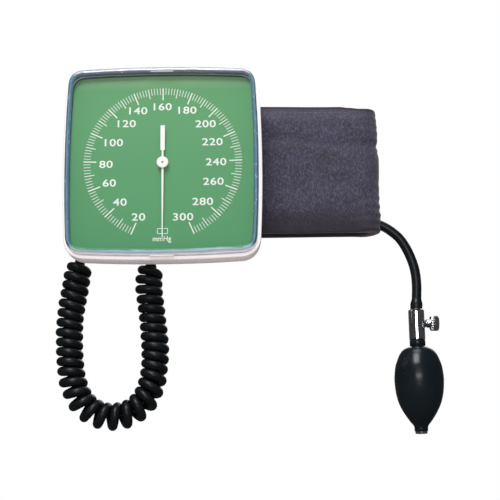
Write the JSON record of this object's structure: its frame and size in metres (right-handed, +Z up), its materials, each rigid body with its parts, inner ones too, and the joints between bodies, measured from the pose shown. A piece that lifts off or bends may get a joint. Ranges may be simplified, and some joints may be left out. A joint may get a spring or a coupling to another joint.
{
  "type": "wall aneroid sphygmomanometer with upper arm cuff",
  "caption": "Wall-mounted square dial blood pressure gauge with a rear cuff basket, folded arm cuff, coiled hose, hand bulb and screw release valve.",
  "frame": {"origin": "on the back face of the wall plate, level with and behind the middle of the dial", "axes": "+Z up, +X to the right of a person reading the dial, the dial faces -Y and the wall is the plane Y = 0"},
  "size_m": [0.3752, 0.1067, 0.3515],
  "materials": {
    "zinc_plate": "zinc plated, matte",
    "white_abs": "moulded white ABS, satin gloss",
    "screw_steel": "bright steel",
    "seal_rubber": "matte",
    "clear_acrylic": "clear moulded acrylic, polished",
    "dial_green": "screen printed green enamel",
    "pointer_white": "white enamel",
    "brass": "turned and stamped brass",
    "spring_bronze": "spring bronze",
    "chrome": "polished chrome plate",
    "black_rubber": "smooth black rubber, soft sheen",
    "black_plastic": "black acetal",
    "nylon_cloth": "fine woven nylon, dark grey violet",
    "bladder_rubber": "matte latex",
    "pile_fabric": "hook and loop pile"
  },
  "bodies": {
    "housing": {"wall_plate": "zinc_plate", "cuff_basket": "white_abs", "plate_screw_1": "screw_steel", "plate_screw_2": "screw_steel", "plate_screw_3": "screw_steel", "plate_screw_4": "screw_steel", "case_screw_1": "screw_steel", "case_screw_2": "screw_steel", "case_screw_3": "screw_steel", "case_screw_4": "screw_steel", "rear_case": "white_abs", "cover_seal": "seal_rubber", "front_cover": "clear_acrylic", "dial_plate": "dial_green", "hairspring": "spring_bronze", "hairspring_stud": "brass", "movement_plate_rear": "brass", "movement_plate_front": "brass", "movement_pillar_1": "brass", "movement_pillar_2": "brass", "movement_pillar_3": "brass", "movement_screw_1": "screw_steel", "movement_screw_2": "screw_steel", "movement_screw_3": "screw_steel", "movement_screw_4": "screw_steel", "pressure_capsule": "spring_bronze", "inlet_block": "brass", "rocker_bracket_left": "brass", "rocker_bracket_right": "brass", "inner_tube": "black_rubber", "inlet_elbow": "chrome", "elbow_nut": "brass", "hose_tail_gauge": "black_rubber", "coiled_hose": "black_rubber", "hose_tail_cuff": "black_rubber", "connector_socket": "chrome", "connector_plug": "black_plastic", "cuff_tube": "black_rubber", "cuff_cloth": "nylon_cloth", "bladder": "bladder_rubber", "loop_patch": "pile_fabric", "hook_patch": "pile_fabric", "bulb_tube": "black_rubber", "valve_body": "chrome", "bulb": "black_rubber", "intake_valve": "chrome"},
    "needle": {"pointer": "pointer_white", "pointer_hub": "pointer_white", "pointer_staff": "screw_steel", "pinion": "brass", "hairspring_collet": "brass"},
    "sector": {"sector_gear": "brass", "sector_arbor": "screw_steel"},
    "rocker": {"rocker": "screw_steel"},
    "button": {"capsule_button": "screw_steel"},
    "stem": {"release_stem": "screw_steel"},
    "knob": {"release_knob": "chrome"},
    "outlet_disc": {"outlet_valve_disc": "black_rubber"},
    "intake_disc": {"intake_valve_disc": "black_rubber"}
  },
  "joints": [
    {"name": "needle_turn", "type": "hinge", "parent": "housing", "child": "needle", "pos_m": [0, -0.0905, 0], "axis": [0, 1, 0], "range_deg": [0, 337.5], "stiffness_Nm_per_rad": 0.0004, "springref_deg": -5.73},
    {"name": "sector_turn", "type": "hinge", "parent": "housing", "child": "sector", "pos_m": [0, -0.07675, -0.024], "axis": [0, 1, 0], "range_deg": [-37.6, 0]},
    {"name": "rocker_turn", "type": "hinge", "parent": "housing", "child": "rocker", "pos_m": [0, -0.0692, -0.027], "axis": [-1, 0, 0], "range_deg": [0, 17.4]},
    {"name": "button_push", "type": "slide", "parent": "housing", "child": "button", "axis": [0, -1, 0], "range_m": [0, 0.00181]},
    {"name": "stem_travel", "type": "slide", "parent": "housing", "child": "stem", "axis": [1, 0, 0], "range_m": [0, 0.00151]},
    {"name": "knob_turn", "type": "hinge", "parent": "stem", "child": "knob", "pos_m": [0.2596, -0.0337, -0.1496], "axis": [1, 0, 0], "range_deg": [0, 720]},
    {"name": "outlet_disc_lift", "type": "slide", "parent": "housing", "child": "outlet_disc", "axis": [0, 0, 1], "range_m": [0, 0.001], "stiffness_N_per_m": 1},
    {"name": "intake_disc_lift", "type": "slide", "parent": "housing", "child": "intake_disc", "axis": [0, 0, 1], "range_m": [0, 0.001], "stiffness_N_per_m": 1}
  ],
  "couplings": [
    {"joint": "sector_turn", "follows": "needle_turn", "ratio": -0.11111},
    {"joint": "rocker_turn", "follows": "needle_turn", "ratio": 0.051259},
    {"joint": "button_push", "follows": "needle_turn", "m_per_rad": 0.00030558},
    {"joint": "stem_travel", "follows": "knob_turn", "m_per_rad": 0.00011937}
  ]
}
